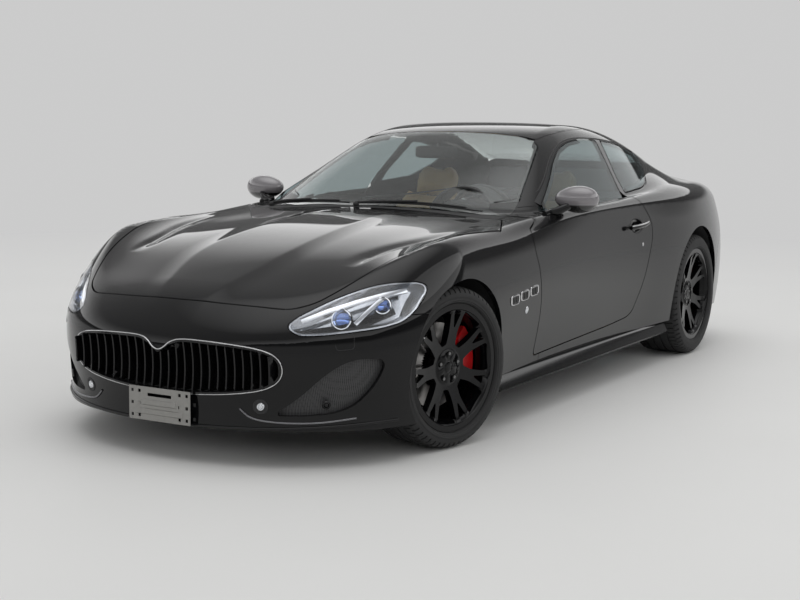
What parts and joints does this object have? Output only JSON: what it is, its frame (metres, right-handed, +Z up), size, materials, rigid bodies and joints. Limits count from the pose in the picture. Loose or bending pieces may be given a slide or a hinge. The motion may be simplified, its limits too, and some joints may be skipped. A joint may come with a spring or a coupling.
{
  "type": "coupe car",
  "caption": "Two-door coupe with long bonnet, opening doors, bonnet and boot lid, steered front wheels and a furnished cabin.",
  "frame": {"origin": "on the ground under the middle of the car's length and width", "axes": "+Z up, +Y towards the tail, +X towards the car's left side"},
  "size_m": [2.0566, 4.8863, 1.3532],
  "materials": {
    "black_paint": "deep gloss",
    "gloss_black": "gloss",
    "matt_black": "grained matt",
    "clear_glass": "clear, faint tint",
    "clear_lens": "clear",
    "lamp_metal": "bright",
    "red_lens": "clear red",
    "bracket_metal": "dull, scuffed",
    "tyre": "matt rubber",
    "black_alloy": "gloss black",
    "cast_alloy": "as cast",
    "red_paint": "gloss red",
    "dark_steel": "satin",
    "bright_steel": "polished",
    "dark_leather": "fine grain",
    "tan_leather": "fine grain",
    "grey_gloss": "gloss"
  },
  "bodies": {
    "body": {"wing_left": "black_paint", "wing_right": "black_paint", "body_side_left": "black_paint", "body_side_right": "black_paint", "cowl": "matt_black", "windscreen": "clear_glass", "roof": "black_paint", "rear_window": "clear_glass", "quarter_windows": "clear_glass", "front_bumper": "black_paint", "rear_bumper": "black_paint", "headlamp_lenses": "clear_lens", "headlamp_units": "lamp_metal", "tail_lamps": "red_lens", "grille": "gloss_black", "intake_meshes": "matt_black", "radiator": "matt_black", "number_plate_bracket": "bracket_metal", "rear_calipers": "red_paint", "floor_pan": "dark_steel", "front_liners": "matt_black", "rear_liners": "matt_black", "engine_block": "cast_alloy", "front_subframe": "dark_steel", "rear_subframe": "dark_steel", "exhaust": "bright_steel", "side_skirts": "gloss_black", "dashboard": "dark_leather", "front_seat_left": "tan_leather", "front_seat_right": "tan_leather", "rear_seats": "tan_leather"},
    "front_hub_left": {"knuckle_left": "cast_alloy", "front_caliper_left": "red_paint"},
    "front_wheel_left": {"front_tyre_left": "tyre", "front_rim_left": "black_alloy"},
    "rear_wheel_left": {"rear_tyre_left": "tyre", "rear_rim_left": "black_alloy"},
    "door_left": {"door_left": "black_paint", "door_glass_left": "clear_glass", "door_mirror_left": "grey_gloss"},
    "front_hub_right": {"knuckle_right": "cast_alloy", "front_caliper_right": "red_paint"},
    "front_wheel_right": {"front_tyre_right": "tyre", "front_rim_right": "black_alloy"},
    "rear_wheel_right": {"rear_tyre_right": "tyre", "rear_rim_right": "black_alloy"},
    "door_right": {"door_right": "black_paint", "door_glass_right": "clear_glass", "door_mirror_right": "grey_gloss"},
    "bonnet": {"bonnet": "black_paint"},
    "boot_lid": {"boot_lid": "black_paint"},
    "steering_wheel": {"steering_wheel": "dark_leather"}
  },
  "joints": [
    {"name": "steer_left", "type": "hinge", "parent": "body", "child": "front_hub_left", "pos_m": [0.742, -1.553, 0.34], "axis": [0, 0, 1], "range_deg": [-22, 46]},
    {"name": "steer_right", "type": "hinge", "parent": "body", "child": "front_hub_right", "pos_m": [-0.742, -1.553, 0.34], "axis": [0, 0, 1], "range_deg": [-22, 46]},
    {"name": "front_wheel_spin_left", "type": "hinge", "parent": "front_hub_left", "child": "front_wheel_left", "pos_m": [0.79189, -1.5636, 0.34], "axis": [0.9781, -0.2079, 0], "continuous": true},
    {"name": "rear_wheel_spin_left", "type": "hinge", "parent": "body", "child": "rear_wheel_left", "pos_m": [0.795, 1.389, 0.354], "axis": [1, 0, 0], "continuous": true},
    {"name": "front_wheel_spin_right", "type": "hinge", "parent": "front_hub_right", "child": "front_wheel_right", "pos_m": [-0.79189, -1.5424, 0.34], "axis": [0.9781, -0.2079, 0], "continuous": true},
    {"name": "rear_wheel_spin_right", "type": "hinge", "parent": "body", "child": "rear_wheel_right", "pos_m": [-0.795, 1.389, 0.354], "axis": [1, 0, 0], "continuous": true},
    {"name": "steering_wheel_turn", "type": "hinge", "parent": "body", "child": "steering_wheel", "pos_m": [0.37, -0.265, 0.862], "axis": [0, 0.9272, 0.3746], "range_deg": [-310, 646]},
    {"name": "door_open_left", "type": "hinge", "parent": "body", "child": "door_left", "pos_m": [0.912, -0.823, 0.6], "axis": [0, 0, -1], "range_deg": [0, 65]},
    {"name": "door_open_right", "type": "hinge", "parent": "body", "child": "door_right", "pos_m": [-0.912, -0.823, 0.6], "axis": [0, 0, 1], "range_deg": [0, 65]},
    {"name": "bonnet_open", "type": "hinge", "parent": "body", "child": "bonnet", "pos_m": [0, -0.785, 0.925], "axis": [-1, 0, 0], "range_deg": [0, 55]},
    {"name": "boot_open", "type": "hinge", "parent": "body", "child": "boot_lid", "pos_m": [0, 1.585, 1.122], "axis": [1, 0, 0], "range_deg": [0, 60]}
  ],
  "couplings": [
    {"joint": "steer_right", "follows": "steer_left", "ratio": 1},
    {"joint": "steering_wheel_turn", "follows": "steer_left", "ratio": 14}
  ]
}
